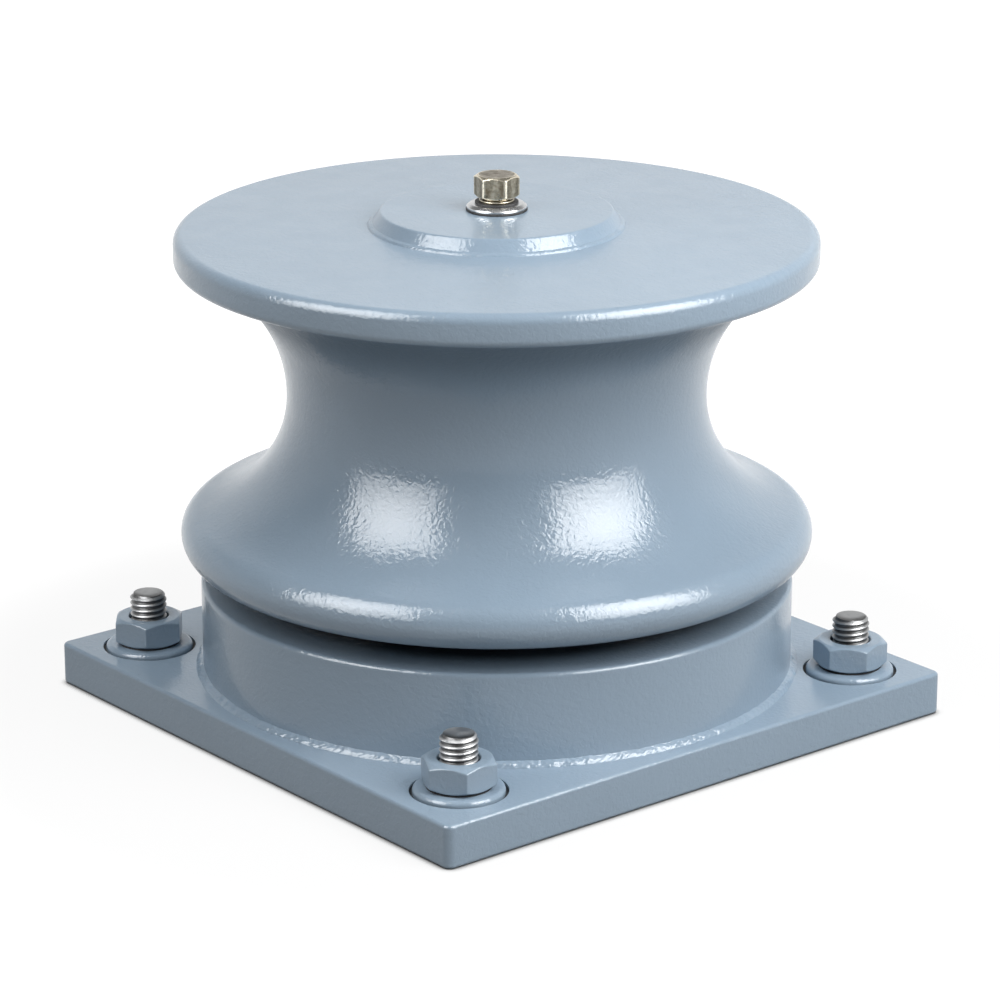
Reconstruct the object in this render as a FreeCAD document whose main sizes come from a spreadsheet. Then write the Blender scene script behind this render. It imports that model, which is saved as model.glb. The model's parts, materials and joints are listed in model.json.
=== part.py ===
import FreeCAD, Part
import math
import os
import Sketcher

# A pedestal roller fairlead: a cast roller with a rope groove turns on a fixed upright pin.
# The origin is the centre of the base plate's underside, and +Z is up the pin.
# Sizes are in millimetres. "dia" is a diameter, and "radius" is half of one.

driving = {
    # square base plate with a spot face round each bolt hole
    "plate_thick": 30.6,
    "plate_corner": 6.0,
    "plate_edge": 2.5,
    "bolt_to_ring": 42.26,
    "bolt_to_edge": 46.2,
    "bolt_hole_dia": 30.0,
    "spot_dia": 66.8,
    "spot_deep": 2.6,
    # holding-down studs, nuts and washers
    "stud_dia": 27.0,
    "thread_dia": 26.3,
    "thread_inset": 0.5,
    "stud_above_nut": 16.9,
    "stud_end": 2.4,
    "nut_flats": 46.0,
    "nut_height": 20.0,
    "nut_entry": 1.5,
    "washer_dia": 62.4,
    "washer_hole_dia": 28.0,
    "washer_thick": 6.0,
    "washer_edge": 3.4,
    # pedestal ring, its deck and their welds
    "ring_dia": 421.2,
    "ring_wall": 40.0,
    "ring_height": 65.6,
    "ring_edge": 3.0,
    "foot_weld_up": 10.5,
    "foot_weld_out": 6.5,
    "deck_thick": 22.0,
    "deck_drop": 1.0,
    "inner_weld": 6.0,
    # fixed pin with its head in a pocket under the plate
    "pin_head_dia": 160.0,
    "pin_head_thick": 12.0,
    "pin_head_inset": 2.0,
    "pin_head_gap": 4.0,
    "pin_shank_dia": 120.0,
    "journal_dia": 100.0,
    "pin_edge": 2.0,
    "grease_bore_dia": 12.0,
    "grease_bore_below": 15.0,
    "cross_bore_dia": 8.0,
    # fits
    "fixed_gap": 0.05,
    "running_gap": 0.06,
    "axial_play": 0.5,
    # thrust ring and keeper plate
    "thrust_dia": 150.0,
    "thrust_thick": 10.0,
    "keeper_thick": 12.0,
    "keeper_edge": 1.5,
    "keeper_hole_dia": 30.0,
    "screw_circle_dia": 72.0,
    "screw_dia": 12.0,
    "screw_reach": 24.0,
    "screw_head_dia": 18.0,
    "screw_head_height": 8.0,
    "screw_socket_flats": 10.0,
    "screw_socket_deep": 5.0,
    # roller drum
    "roller_gap": 18.0,
    "roller_height": 234.2,
    "top_crown": 3.0,
    "top_rim_dia": 449.8,
    "top_rim_thick": 23.0,
    "top_rim_round": 7.1,
    "under_rim_round": 5.7,
    "rim_land": 14.0,
    "waist_dia": 295.6,
    "waist_height": 116.6,
    "low_rim_dia": 447.8,
    "low_rim_round": 16.8,
    "shell_wall": 28.0,
    "top_web_thick": 30.0,
    "recess_gap": 6.0,
    "recess_deep": 31.7,
    "boss_wall": 22.0,
    "boss_deep": 40.0,
    # hub sleeve, bushes, closing web and seal
    "bush_wall": 10.0,
    "bush_length": 70.0,
    "bush_flange_thick": 8.0,
    "bush_flange_rim": 10.0,
    "bush_edge": 1.0,
    "hub_wall": 20.0,
    "hub_relief": 1.0,
    "web_thick": 16.0,
    "web_inset": 4.0,
    "web_ledge": 5.0,
    "seal_wall": 8.0,
    "seal_lip_out": 7.0,
    "seal_lip_thick": 2.5,
    "seal_lip_gap": 0.3,
    # cover disc and grease plug on top
    "cover_base_dia": 176.0,
    "cover_top_dia": 162.0,
    "cover_height": 10.3,
    "cover_edge": 1.2,
    "cover_weld": 2.5,
    "spigot_deep": 6.0,
    "spigot_gap": 0.2,
    "plug_thread_dia": 16.0,
    "plug_reach": 18.0,
    "plug_seal_dia": 43.0,
    "plug_seal_thick": 1.6,
    "plug_washer_dia": 42.2,
    "plug_washer_thick": 3.4,
    "plug_washer_edge": 2.0,
    "plug_gasket_dia": 30.4,
    "plug_gasket_thick": 1.4,
    "plug_collar_dia": 24.4,
    "plug_collar_thick": 1.4,
    "plug_neck_dia": 20.0,
    "plug_neck_length": 1.5,
    "plug_flats": 28.0,
    "plug_head_height": 15.9,
}

derived = {
    # plate and bolts, placed from the ring: each bolt stands out along a diagonal
    "ring_radius": "ring_dia / 2",
    "bolt_reach": "(ring_radius + bolt_to_ring) / sqrt(2)",
    "half_side": "bolt_reach + bolt_to_edge",
    "plate_side": "half_side * 2",
    # heights in the base
    "washer_seat": "plate_thick - spot_deep",
    "shank_end": "washer_seat - thread_inset",
    "washer_top": "washer_seat + washer_thick",
    "nut_top": "washer_top + nut_height",
    "stud_top": "nut_top + stud_above_nut",
    "ring_top": "plate_thick + ring_height",
    "foot_weld_top": "plate_thick + foot_weld_up",
    "deck_top": "ring_top - deck_drop",
    "deck_under": "deck_top - deck_thick",
    "deck_weld_low": "deck_under - inner_weld",
    "pin_head_top": "pin_head_inset + pin_head_thick",
    "pin_weld_top": "pin_head_inset + inner_weld",
    "thrust_top": "deck_top + thrust_thick",
    # radii in the base
    "spot_radius": "spot_dia / 2",
    "bolt_hole_radius": "bolt_hole_dia / 2",
    "stud_radius": "stud_dia / 2",
    "thread_radius": "thread_dia / 2",
    "washer_radius": "washer_dia / 2",
    "washer_hole_radius": "washer_hole_dia / 2",
    "nut_bore_radius": "thread_radius + fixed_gap",
    "ring_bore_radius": "ring_radius - ring_wall",
    "foot_weld_radius": "ring_radius + foot_weld_out",
    "deck_radius": "ring_bore_radius - fixed_gap",
    "deck_weld_radius": "deck_radius - inner_weld",
    "pin_head_radius": "pin_head_dia / 2",
    "head_pocket_radius": "pin_head_radius + pin_head_gap",
    "pin_shank_radius": "pin_shank_dia / 2",
    "pin_hole_radius": "pin_shank_radius + fixed_gap",
    "journal_radius": "journal_dia / 2",
    "thrust_radius": "thrust_dia / 2",
    "thrust_bore_radius": "journal_radius + fixed_gap",
    # outside of the drum: each groove arc is as large as makes it meet the rims smoothly
    "roller_under": "ring_top + roller_gap",
    "roller_top": "roller_under + roller_height",
    "cover_seat": "roller_top + top_crown",
    "waist_level": "roller_under + waist_height",
    "waist_radius": "waist_dia / 2",
    "top_rim_radius": "top_rim_dia / 2",
    "top_face_radius": "top_rim_radius - top_rim_round",
    "top_round_low": "roller_top - top_rim_round",
    "rim_under": "roller_top - top_rim_thick",
    "under_round_top": "rim_under + under_rim_round",
    "under_face_radius": "top_rim_radius - under_rim_round",
    "groove_end_radius": "under_face_radius - rim_land",
    "upper_groove": "((groove_end_radius - waist_radius)^2 + (rim_under - waist_level)^2)"
                    " / (2 * (groove_end_radius - waist_radius))",
    "low_rim_radius": "low_rim_dia / 2",
    "low_round_centre": "low_rim_radius - low_rim_round",
    "low_round_level": "roller_under + low_rim_round",
    "lower_groove": "((low_round_centre - waist_radius)^2 + (waist_level - low_round_level)^2"
                    " - low_rim_round^2) / (2 * (low_rim_radius - waist_radius))",
    "groove_share": "low_rim_round / (low_rim_round + lower_groove)",
    "join_radius": "low_round_centre + groove_share * (waist_radius + lower_groove - low_round_centre)",
    "join_level": "low_round_level + groove_share * (waist_level - low_round_level)",
    # inside of the drum
    "upper_inner": "upper_groove + shell_wall",
    "lower_inner": "lower_groove + shell_wall",
    "inner_waist_radius": "waist_radius - shell_wall",
    "web_level": "roller_top - top_web_thick",
    "web_radius": "waist_radius + upper_groove - sqrt(upper_inner^2 - (web_level - waist_level)^2)",
    "low_web_under": "roller_under + web_inset",
    "low_web_top": "low_web_under + web_thick",
    "ledge_radius": "waist_radius + lower_groove - sqrt(lower_inner^2 - (waist_level - low_web_top)^2)",
    "rebate_radius": "ledge_radius + web_ledge",
    "low_web_radius": "rebate_radius - fixed_gap",
    "web_weld_radius": "low_web_radius - web_inset",
    "recess_floor": "roller_top - recess_deep",
    "boss_level": "recess_floor - boss_deep",
    # hub and bushes, the keeper that covers the upper bush, and the recess round the keeper
    "bush_bore_radius": "journal_radius + running_gap",
    "bush_radius": "bush_bore_radius + bush_wall",
    "bush_flange_radius": "bush_radius + bush_flange_rim",
    "keeper_radius": "bush_flange_radius - running_gap",
    "recess_radius": "keeper_radius + recess_gap",
    "hub_bore_radius": "bush_radius + fixed_gap",
    "hub_flange_radius": "bush_flange_radius + fixed_gap",
    "hub_radius": "hub_bore_radius + hub_wall",
    "drum_bore_radius": "hub_radius + fixed_gap",
    "boss_radius": "drum_bore_radius + boss_wall",
    "hub_low": "thrust_top + hub_relief",
    "low_flange_top": "thrust_top + bush_flange_thick",
    "low_bush_top": "thrust_top + bush_length",
    "bush_high": "recess_floor",
    "high_flange_under": "bush_high - bush_flange_thick",
    "high_bush_under": "bush_high - bush_length",
    "seal_radius": "drum_bore_radius + seal_wall",
    "seal_low": "deck_top + seal_lip_gap",
    "seal_body_low": "hub_low",
    "seal_lip_radius": "seal_radius + seal_lip_out",
    "seal_lip_inner": "seal_lip_radius - seal_lip_thick",
    # top of the pin and its keeper
    "journal_top": "bush_high + axial_play",
    "keeper_top": "journal_top + keeper_thick",
    "keeper_hole_radius": "keeper_hole_dia / 2",
    "screw_circle_radius": "screw_circle_dia / 2",
    "screw_radius": "screw_dia / 2",
    "screw_hole_radius": "screw_radius + fixed_gap",
    "screw_head_radius": "screw_head_dia / 2",
    "screw_tip": "journal_top - screw_reach",
    "screw_hole_deep": "screw_reach + screw_radius",
    "screw_head_top": "keeper_top + screw_head_height",
    "screw_socket_radius": "screw_socket_flats / 2 / cos(30)",
    "grease_bore_radius": "grease_bore_dia / 2",
    "cross_bore_radius": "cross_bore_dia / 2",
    "low_cross_level": "(thrust_top + low_bush_top) / 2",
    "high_cross_level": "(bush_high + high_bush_under) / 2",
    "grease_bore_end": "low_cross_level - grease_bore_below",
    # cover and plug
    "cover_radius": "cover_base_dia / 2",
    "cover_top_radius": "cover_top_dia / 2",
    "cover_top": "cover_seat + cover_height",
    "cover_weld_radius": "cover_radius + cover_weld",
    "cover_weld_top": "cover_seat + cover_weld",
    "seat_radius": "cover_weld_radius + cover_weld",
    "cover_weld_inner": "cover_radius - (cover_radius - cover_top_radius) * cover_weld / cover_height",
    "spigot_radius": "recess_radius - spigot_gap",
    "spigot_low": "cover_seat - spigot_deep",
    "plug_thread_radius": "plug_thread_dia / 2",
    "plug_hole_radius": "plug_thread_radius + fixed_gap",
    "plug_seal_radius": "plug_seal_dia / 2",
    "plug_seal_top": "cover_top + plug_seal_thick",
    "plug_washer_radius": "plug_washer_dia / 2",
    "plug_washer_top": "plug_seal_top + plug_washer_thick",
    "plug_gasket_radius": "plug_gasket_dia / 2",
    "plug_gasket_top": "plug_washer_top + plug_gasket_thick",
    "plug_collar_radius": "plug_collar_dia / 2",
    "plug_collar_top": "plug_gasket_top + plug_collar_thick",
    "plug_neck_radius": "plug_neck_dia / 2",
    "plug_head_low": "plug_collar_top + plug_neck_length",
    "plug_head_top": "plug_head_low + plug_head_height",
    "plug_tip": "cover_top - plug_reach",
}

# How far each hexagon is turned about its own axis, in degrees, as the spanner left it.
nut_turns = (-26.9, -17.4, 12.0, 20.6)
plug_turn = -15.6
corner_signs = ((1, -1), (1, 1), (-1, 1), (-1, -1))
chamfer_share = 0.95
chamfer_slope = math.tan(math.radians(30))

# How closely an edge has to lie to the ring that it is looked for as.
axis_slack = 0.000001
edge_slack = 0.0001

doc = FreeCAD.newDocument("roller_fairlead")
sheet = doc.addObject("Spreadsheet::Sheet", "sizes")


def fill_sheet():
    rows = [(name, str(value)) for name, value in driving.items()]
    rows += [(name, "=" + formula) for name, formula in derived.items()]
    for row, (name, content) in enumerate(rows, 1):
        sheet.set(f"A{row}", name)
        sheet.set(f"B{row}", content)
        sheet.setAlias(f"B{row}", name)
    doc.recompute()


def size(name):
    return float(sheet.get(name))


def bind(thing, **paths):
    # a double underscore stands for the point in a property's path
    for path, formula in paths.items():
        thing.setExpression(path.replace("__", "."), formula)


def new_body(label):
    body = doc.addObject("PartDesign::Body", label)
    body.Label = label
    return body


def new_sketch(body, name, plane, lift=None):
    """A sketch on one of the body's own planes, lifted by a size along the plane's normal."""
    sketch = body.newObject("Sketcher::SketchObject", name)
    origin_plane = [f for f in body.Origin.OriginFeatures if f.Role == plane][0]
    sketch.AttachmentSupport = [(origin_plane, "")]
    sketch.MapMode = "FlatFace"
    if lift:
        sketch.setExpression("AttachmentOffset.Base.z", f"sizes.{lift}")
    return sketch


def arc_centre(start, end, radius, turn):
    """Centre of the shorter arc from start to end, to the left of its way where turn is 1."""
    chord = end - start
    middle = (start + end) * 0.5
    rise = math.sqrt(max(radius**2 - (chord.Length / 2) ** 2, 0.0))
    side = FreeCAD.Vector(-chord.y, chord.x, 0).normalize()
    return middle + side * (rise * turn)


def draw(sketch, corners):
    """A closed outline. A corner is two sizes, or None on an axis, then the radius and turn of a round side."""
    points = [
        FreeCAD.Vector(size(c[0]) if c[0] else 0, size(c[1]) if c[1] else 0, 0) for c in corners
    ]
    starts = []
    ends = []
    for index, corner in enumerate(corners):
        start, end = points[index], points[(index + 1) % len(points)]
        if len(corner) == 2:
            sketch.addGeometry(Part.LineSegment(start, end))
            starts.append((index, 1))
            ends.append((index, 2))
            continue
        radius, turn = size(corner[2]), corner[3]
        centre = arc_centre(start, end, radius, turn)
        first, last = (start, end) if turn > 0 else (end, start)
        angles = [math.atan2(p.y - centre.y, p.x - centre.x) for p in (first, last)]
        circle = Part.Circle(centre, FreeCAD.Vector(0, 0, 1), radius)
        sketch.addGeometry(Part.ArcOfCircle(circle, *angles))
        starts.append((index, 1 if turn > 0 else 2))
        ends.append((index, 2 if turn > 0 else 1))
        number = sketch.addConstraint(Sketcher.Constraint("Radius", index, radius))
        sketch.setExpression(f"Constraints[{number}]", f"sizes.{corner[2]}")
    for index, corner in enumerate(corners):
        before = ends[index - 1]
        here = starts[index]
        sketch.addConstraint(Sketcher.Constraint("Coincident", *before, *here))
        for kind, axis, name, value in (
            ("DistanceX", -2, corner[0], points[index].x),
            ("DistanceY", -1, corner[1], points[index].y),
        ):
            if name is None:
                sketch.addConstraint(Sketcher.Constraint("PointOnObject", *here, axis))
                continue
            number = sketch.addConstraint(Sketcher.Constraint(kind, -1, 1, *here, value))
            sketch.setExpression(f"Constraints[{number}]", f"sizes.{name}")


def draw_circle(sketch, radius, across=None, up=None):
    """A circle at the origin, or at a place given by sizes."""
    centre = FreeCAD.Vector(size(across) if across else 0, size(up) if up else 0, 0)
    index = sketch.addGeometry(Part.Circle(centre, FreeCAD.Vector(0, 0, 1), size(radius)))
    number = sketch.addConstraint(Sketcher.Constraint("Radius", index, size(radius)))
    sketch.setExpression(f"Constraints[{number}]", f"sizes.{radius}")
    for kind, axis, name, value in (
        ("DistanceX", -2, across, centre.x),
        ("DistanceY", -1, up, centre.y),
    ):
        if name is None:
            sketch.addConstraint(Sketcher.Constraint("PointOnObject", index, 3, axis))
            continue
        number = sketch.addConstraint(Sketcher.Constraint(kind, -1, 1, index, 3, value))
        sketch.setExpression(f"Constraints[{number}]", f"sizes.{name}")


def draw_hexagon(sketch, radius):
    """A hexagon about the origin with a corner on X."""
    corners = [
        FreeCAD.Vector(size(radius) * math.cos(a), size(radius) * math.sin(a), 0)
        for a in (math.radians(60 * k) for k in range(6))
    ]
    for k in range(6):
        sketch.addGeometry(Part.LineSegment(corners[k], corners[(k + 1) % 6]))
    guide = sketch.addGeometry(
        Part.Circle(FreeCAD.Vector(0, 0, 0), FreeCAD.Vector(0, 0, 1), size(radius)), True
    )
    for k in range(6):
        sketch.addConstraint(Sketcher.Constraint("Coincident", k, 2, (k + 1) % 6, 1))
        sketch.addConstraint(Sketcher.Constraint("PointOnObject", k, 1, guide))
    for k in range(1, 6):
        sketch.addConstraint(Sketcher.Constraint("Equal", 0, k))
    sketch.addConstraint(Sketcher.Constraint("PointOnObject", 0, 1, -1))
    sketch.addConstraint(Sketcher.Constraint("PointOnObject", guide, 3, -1))
    sketch.addConstraint(Sketcher.Constraint("PointOnObject", guide, 3, -2))
    number = sketch.addConstraint(Sketcher.Constraint("Radius", guide, size(radius)))
    sketch.setExpression(f"Constraints[{number}]", f"sizes.{radius}")


def revolve(body, corners):
    """Turns an outline of radii and heights about Z."""
    sketch = new_sketch(body, "outline", "XZ_Plane")
    draw(sketch, corners)
    turned = body.newObject("PartDesign::Revolution", "turned")
    turned.Profile = sketch
    turned.ReferenceAxis = (sketch, ["V_Axis"])
    turned.Angle = 360
    sketch.Visibility = False
    doc.recompute()
    return turned


def pocket(body, sketch, deep=None, upward=False):
    cut = body.newObject("PartDesign::Pocket", "cut")
    cut.Profile = sketch
    cut.Reversed = upward
    if deep:
        cut.setExpression("Length", f"sizes.{deep}")
    else:
        cut.Type = "ThroughAll"
    doc.recompute()
    return cut


def repeat(body, features, count):
    """Repeats features round Z."""
    pattern = body.newObject("PartDesign::PolarPattern", "round_z")
    pattern.Originals = features
    z_axis = [f for f in body.Origin.OriginFeatures if f.Role == "Z_Axis"][0]
    pattern.Axis = (z_axis, [""])
    pattern.Angle = 360
    pattern.Occurrences = count
    body.Tip = pattern
    doc.recompute()
    return pattern


def rings(shape, radius, level):
    """Names of the shape's round edges about Z of one radius at one height."""
    names = []
    for number, edge in enumerate(shape.Edges, 1):
        curve = edge.Curve
        if not isinstance(curve, Part.Circle):
            continue
        on_axis = math.hypot(curve.Center.x, curve.Center.y) < axis_slack
        right_size = abs(curve.Radius - size(radius)) < edge_slack
        right_level = abs(curve.Center.z - size(level)) < edge_slack
        if on_axis and right_size and right_level:
            names.append(f"Edge{number}")
    return names


def dress(body, base, kind, edges, amount):
    """Rounds or chamfers edges of a feature."""
    feature = body.newObject(f"PartDesign::{kind}", kind.lower())
    feature.Base = (base, edges)
    feature.setExpression("Radius" if kind == "Fillet" else "Size", f"sizes.{amount}")
    doc.recompute()
    return feature


# Base plate
def make_plate():
    body = new_body("base_plate")
    square = new_sketch(body, "square", "XY_Plane")
    ways = ((1, 1), (-1, 1), (-1, -1), (1, -1))
    spots = [FreeCAD.Vector(x * size("half_side"), y * size("half_side"), 0) for x, y in ways]
    for k in range(4):
        square.addGeometry(Part.LineSegment(spots[k], spots[(k + 1) % 4]))
    for k in range(4):
        square.addConstraint(Sketcher.Constraint("Coincident", k, 2, (k + 1) % 4, 1))
        square.addConstraint(Sketcher.Constraint("Vertical" if k % 2 else "Horizontal", k))
    square.addConstraint(Sketcher.Constraint("Symmetric", 0, 1, 2, 1, -1, 1))
    square.addConstraint(Sketcher.Constraint("Equal", 0, 1))
    number = square.addConstraint(Sketcher.Constraint("DistanceX", 0, 2, 0, 1, size("plate_side")))
    square.setExpression(f"Constraints[{number}]", "sizes.plate_side")
    slab = body.newObject("PartDesign::Pad", "slab")
    slab.Profile = square
    slab.setExpression("Length", "sizes.plate_thick")
    doc.recompute()
    upright = [
        f"Edge{n}" for n, e in enumerate(slab.Shape.Edges, 1) if abs(e.tangentAt(e.FirstParameter).z) > 0.5
    ]
    corners = dress(body, slab, "Fillet", upright, "plate_corner")
    level = [
        f"Edge{n}" for n, e in enumerate(corners.Shape.Edges, 1) if abs(e.tangentAt(e.FirstParameter).z) < 0.5
    ]
    dress(body, corners, "Fillet", level, "plate_edge")
    spot = new_sketch(body, "spot_face", "XY_Plane", "plate_thick")
    draw_circle(spot, "spot_radius", "bolt_reach", "bolt_reach")
    spot_face = pocket(body, spot, "spot_deep")
    hole = new_sketch(body, "bolt_hole", "XY_Plane")
    draw_circle(hole, "bolt_hole_radius", "bolt_reach", "bolt_reach")
    bolt_hole = pocket(body, hole, upward=True)
    repeat(body, [spot_face, bolt_hole], len(corner_signs))
    head = new_sketch(body, "head_pocket", "XY_Plane")
    draw_circle(head, "head_pocket_radius")
    pocket(body, head, "pin_head_top", upward=True)
    centre = new_sketch(body, "pin_hole", "XY_Plane")
    draw_circle(centre, "pin_hole_radius")
    pocket(body, centre, upward=True)
    return body


# Pedestal
def make_pedestal_ring():
    body = new_body("pedestal_ring")
    turned = revolve(body, (
        ("ring_bore_radius", "plate_thick"),
        ("ring_radius", "plate_thick"),
        ("ring_radius", "ring_top"),
        ("ring_bore_radius", "ring_top"),
    ))
    dress(body, turned, "Fillet", rings(turned.Shape, "ring_radius", "ring_top"), "ring_edge")
    return body


def make_foot_weld():
    body = new_body("pedestal_weld")
    revolve(body, (
        ("ring_radius", "plate_thick"),
        ("foot_weld_radius", "plate_thick"),
        ("ring_radius", "foot_weld_top"),
    ))
    return body


def make_deck():
    body = new_body("pedestal_deck")
    revolve(body, (
        ("pin_hole_radius", "deck_under"),
        ("deck_radius", "deck_under"),
        ("deck_radius", "deck_top"),
        ("pin_hole_radius", "deck_top"),
    ))
    return body


def make_deck_weld():
    body = new_body("deck_weld")
    revolve(body, (
        ("deck_radius", "deck_weld_low"),
        ("deck_radius", "deck_under"),
        ("deck_weld_radius", "deck_under"),
    ))
    return body


# Pin and what holds the roller on it
def make_pin():
    body = new_body("roller_pin")
    turned = revolve(body, (
        ("grease_bore_radius", "grease_bore_end"),
        ("grease_bore_radius", "journal_top"),
        ("journal_radius", "journal_top"),
        ("journal_radius", "deck_top"),
        ("pin_shank_radius", "deck_top"),
        ("pin_shank_radius", "pin_head_top"),
        ("pin_head_radius", "pin_head_top"),
        ("pin_head_radius", "pin_head_inset"),
        (None, "pin_head_inset"),
        (None, "grease_bore_end"),
    ))
    dress(body, turned, "Chamfer", rings(turned.Shape, "journal_radius", "journal_top"), "pin_edge")
    for level in ("low_cross_level", "high_cross_level"):
        sketch = new_sketch(body, f"{level}_bore", "YZ_Plane")
        draw_circle(sketch, "cross_bore_radius", up=level)
        cut = body.newObject("PartDesign::Pocket", "cross_bore")
        cut.Profile = sketch
        cut.Midplane = True
        cut.Type = "Length"
        cut.setExpression("Length", "sizes.pin_shank_dia")
        doc.recompute()
    hole = new_sketch(body, "screw_hole", "XY_Plane", "journal_top")
    draw_circle(hole, "screw_hole_radius", "screw_circle_radius")
    screw_hole = pocket(body, hole, "screw_hole_deep")
    repeat(body, [screw_hole], len(corner_signs))
    return body


def make_pin_weld():
    body = new_body("pin_weld")
    revolve(body, (
        ("pin_head_radius", "pin_head_inset"),
        ("head_pocket_radius", "pin_weld_top"),
        ("head_pocket_radius", "pin_head_top"),
        ("pin_head_radius", "pin_head_top"),
    ))
    return body


def make_thrust_ring():
    body = new_body("thrust_ring")
    turned = revolve(body, (
        ("thrust_bore_radius", "deck_top"),
        ("thrust_radius", "deck_top"),
        ("thrust_radius", "thrust_top"),
        ("thrust_bore_radius", "thrust_top"),
    ))
    dress(body, turned, "Chamfer", rings(turned.Shape, "thrust_radius", "thrust_top"), "bush_edge")
    return body


def make_keeper():
    body = new_body("keeper_plate")
    turned = revolve(body, (
        ("keeper_hole_radius", "journal_top"),
        ("keeper_radius", "journal_top"),
        ("keeper_radius", "keeper_top"),
        ("keeper_hole_radius", "keeper_top"),
    ))
    dress(body, turned, "Chamfer", rings(turned.Shape, "keeper_radius", "keeper_top"), "keeper_edge")
    hole = new_sketch(body, "screw_hole", "XY_Plane", "keeper_top")
    draw_circle(hole, "screw_hole_radius", "screw_circle_radius")
    screw_hole = pocket(body, hole)
    repeat(body, [screw_hole], len(corner_signs))
    return body


def make_keeper_screw(number):
    body = new_body(f"keeper_screw_{number}")
    turned = revolve(body, (
        (None, "screw_tip"),
        ("screw_radius", "screw_tip"),
        ("screw_radius", "keeper_top"),
        ("screw_head_radius", "keeper_top"),
        ("screw_head_radius", "screw_head_top"),
        (None, "screw_head_top"),
    ))
    dress(body, turned, "Chamfer", rings(turned.Shape, "screw_head_radius", "screw_head_top"), "bush_edge")
    socket = new_sketch(body, "socket", "XY_Plane", "screw_head_top")
    draw_hexagon(socket, "screw_socket_radius")
    pocket(body, socket, "screw_socket_deep")
    turn = (number - 1) * 360 / len(corner_signs)
    body.Placement.Rotation = FreeCAD.Rotation(FreeCAD.Vector(0, 0, 1), turn)
    bind(
        body,
        Placement__Base__x=f"sizes.screw_circle_radius * cos({turn})",
        Placement__Base__y=f"sizes.screw_circle_radius * sin({turn})",
    )
    return body


# Holding-down bolts
def put_at_corner(thing, number, turn=0.0):
    across, along = corner_signs[number - 1]
    thing.Placement.Rotation = FreeCAD.Rotation(FreeCAD.Vector(0, 0, 1), turn)
    bind(
        thing,
        Placement__Base__x=f"sizes.bolt_reach * {across}",
        Placement__Base__y=f"sizes.bolt_reach * {along}",
    )


def make_stud(number):
    body = new_body(f"anchor_stud_{number}")
    turned = revolve(body, (
        (None, None),
        ("stud_radius", None),
        ("stud_radius", "shank_end"),
        ("thread_radius", "shank_end"),
        ("thread_radius", "stud_top"),
        (None, "stud_top"),
    ))
    dress(body, turned, "Chamfer", rings(turned.Shape, "thread_radius", "stud_top"), "stud_end")
    put_at_corner(body, number)
    return body


def make_washer(number):
    body = new_body(f"anchor_washer_{number}")
    turned = revolve(body, (
        ("washer_hole_radius", "washer_seat"),
        ("washer_radius", "washer_seat"),
        ("washer_radius", "washer_top"),
        ("washer_hole_radius", "washer_top"),
    ))
    dress(body, turned, "Fillet", rings(turned.Shape, "washer_radius", "washer_top"), "washer_edge")
    put_at_corner(body, number)
    return body


def hexagon_blank(name, flats, low, high):
    """A hexagonal bar piece between two heights, its corners turned down to a cone at both ends."""
    prism = doc.addObject("Part::Prism", f"{name}_bar")
    prism.Polygon = 6
    bind(
        prism,
        Circumradius=f"sizes.{flats} / 2 / cos(30)",
        Height=f"sizes.{high} - sizes.{low}",
        Placement__Base__z=f"sizes.{low}",
    )
    cones = []
    face = f"sizes.{flats} / 2 * {chamfer_share}"
    middle = f"(sizes.{high} - sizes.{low}) / 2"
    wide = f"{face} + {middle} / {chamfer_slope}"
    for part_name, small, large, base in (
        ("low", face, wide, f"sizes.{low}"),
        ("high", wide, face, f"(sizes.{low} + sizes.{high}) / 2"),
    ):
        cone = doc.addObject("Part::Cone", f"{name}_{part_name}_cone")
        bind(cone, Radius1=small, Radius2=large, Height=middle, Placement__Base__z=base)
        cones.append(cone)
    envelope = doc.addObject("Part::Fuse", f"{name}_cones")
    envelope.Base, envelope.Tool = cones
    blank = doc.addObject("Part::Common", f"{name}_blank")
    blank.Base = prism
    blank.Tool = envelope
    return blank


def make_nut(number):
    name = f"anchor_nut_{number}"
    blank = hexagon_blank(name, "nut_flats", "washer_top", "nut_top")
    hole = doc.addObject("Part::Cylinder", f"{name}_hole")
    bind(
        hole,
        Radius="sizes.nut_bore_radius",
        Height="sizes.nut_top",
    )
    entry = doc.addObject("Part::Cone", f"{name}_entry")
    bind(
        entry,
        Radius1="sizes.nut_bore_radius",
        Radius2="sizes.nut_bore_radius + sizes.nut_entry",
        Height="sizes.nut_entry",
        Placement__Base__z="sizes.nut_top - sizes.nut_entry",
    )
    bore = doc.addObject("Part::Fuse", f"{name}_bore")
    bore.Base = hole
    bore.Tool = entry
    nut = doc.addObject("Part::Cut", name)
    nut.Base = blank
    nut.Tool = bore
    nut.Label = name
    put_at_corner(nut, number, nut_turns[number - 1])
    return nut


# Roller
def make_drum():
    body = new_body("roller_drum")
    revolve(body, (
        ("recess_radius", "cover_seat"),
        ("seat_radius", "cover_seat"),
        ("top_face_radius", "roller_top", "top_rim_round", -1),
        ("top_rim_radius", "top_round_low"),
        ("top_rim_radius", "under_round_top", "under_rim_round", -1),
        ("under_face_radius", "rim_under"),
        ("groove_end_radius", "rim_under", "upper_groove", 1),
        ("waist_radius", "waist_level", "lower_groove", 1),
        ("join_radius", "join_level", "low_rim_round", -1),
        ("low_round_centre", "roller_under"),
        ("rebate_radius", "roller_under"),
        ("rebate_radius", "low_web_top"),
        ("ledge_radius", "low_web_top", "lower_inner", -1),
        ("inner_waist_radius", "waist_level", "upper_inner", -1),
        ("web_radius", "web_level"),
        ("boss_radius", "web_level"),
        ("boss_radius", "boss_level"),
        ("drum_bore_radius", "boss_level"),
        ("drum_bore_radius", "recess_floor"),
        ("recess_radius", "recess_floor"),
    ))
    return body


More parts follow.
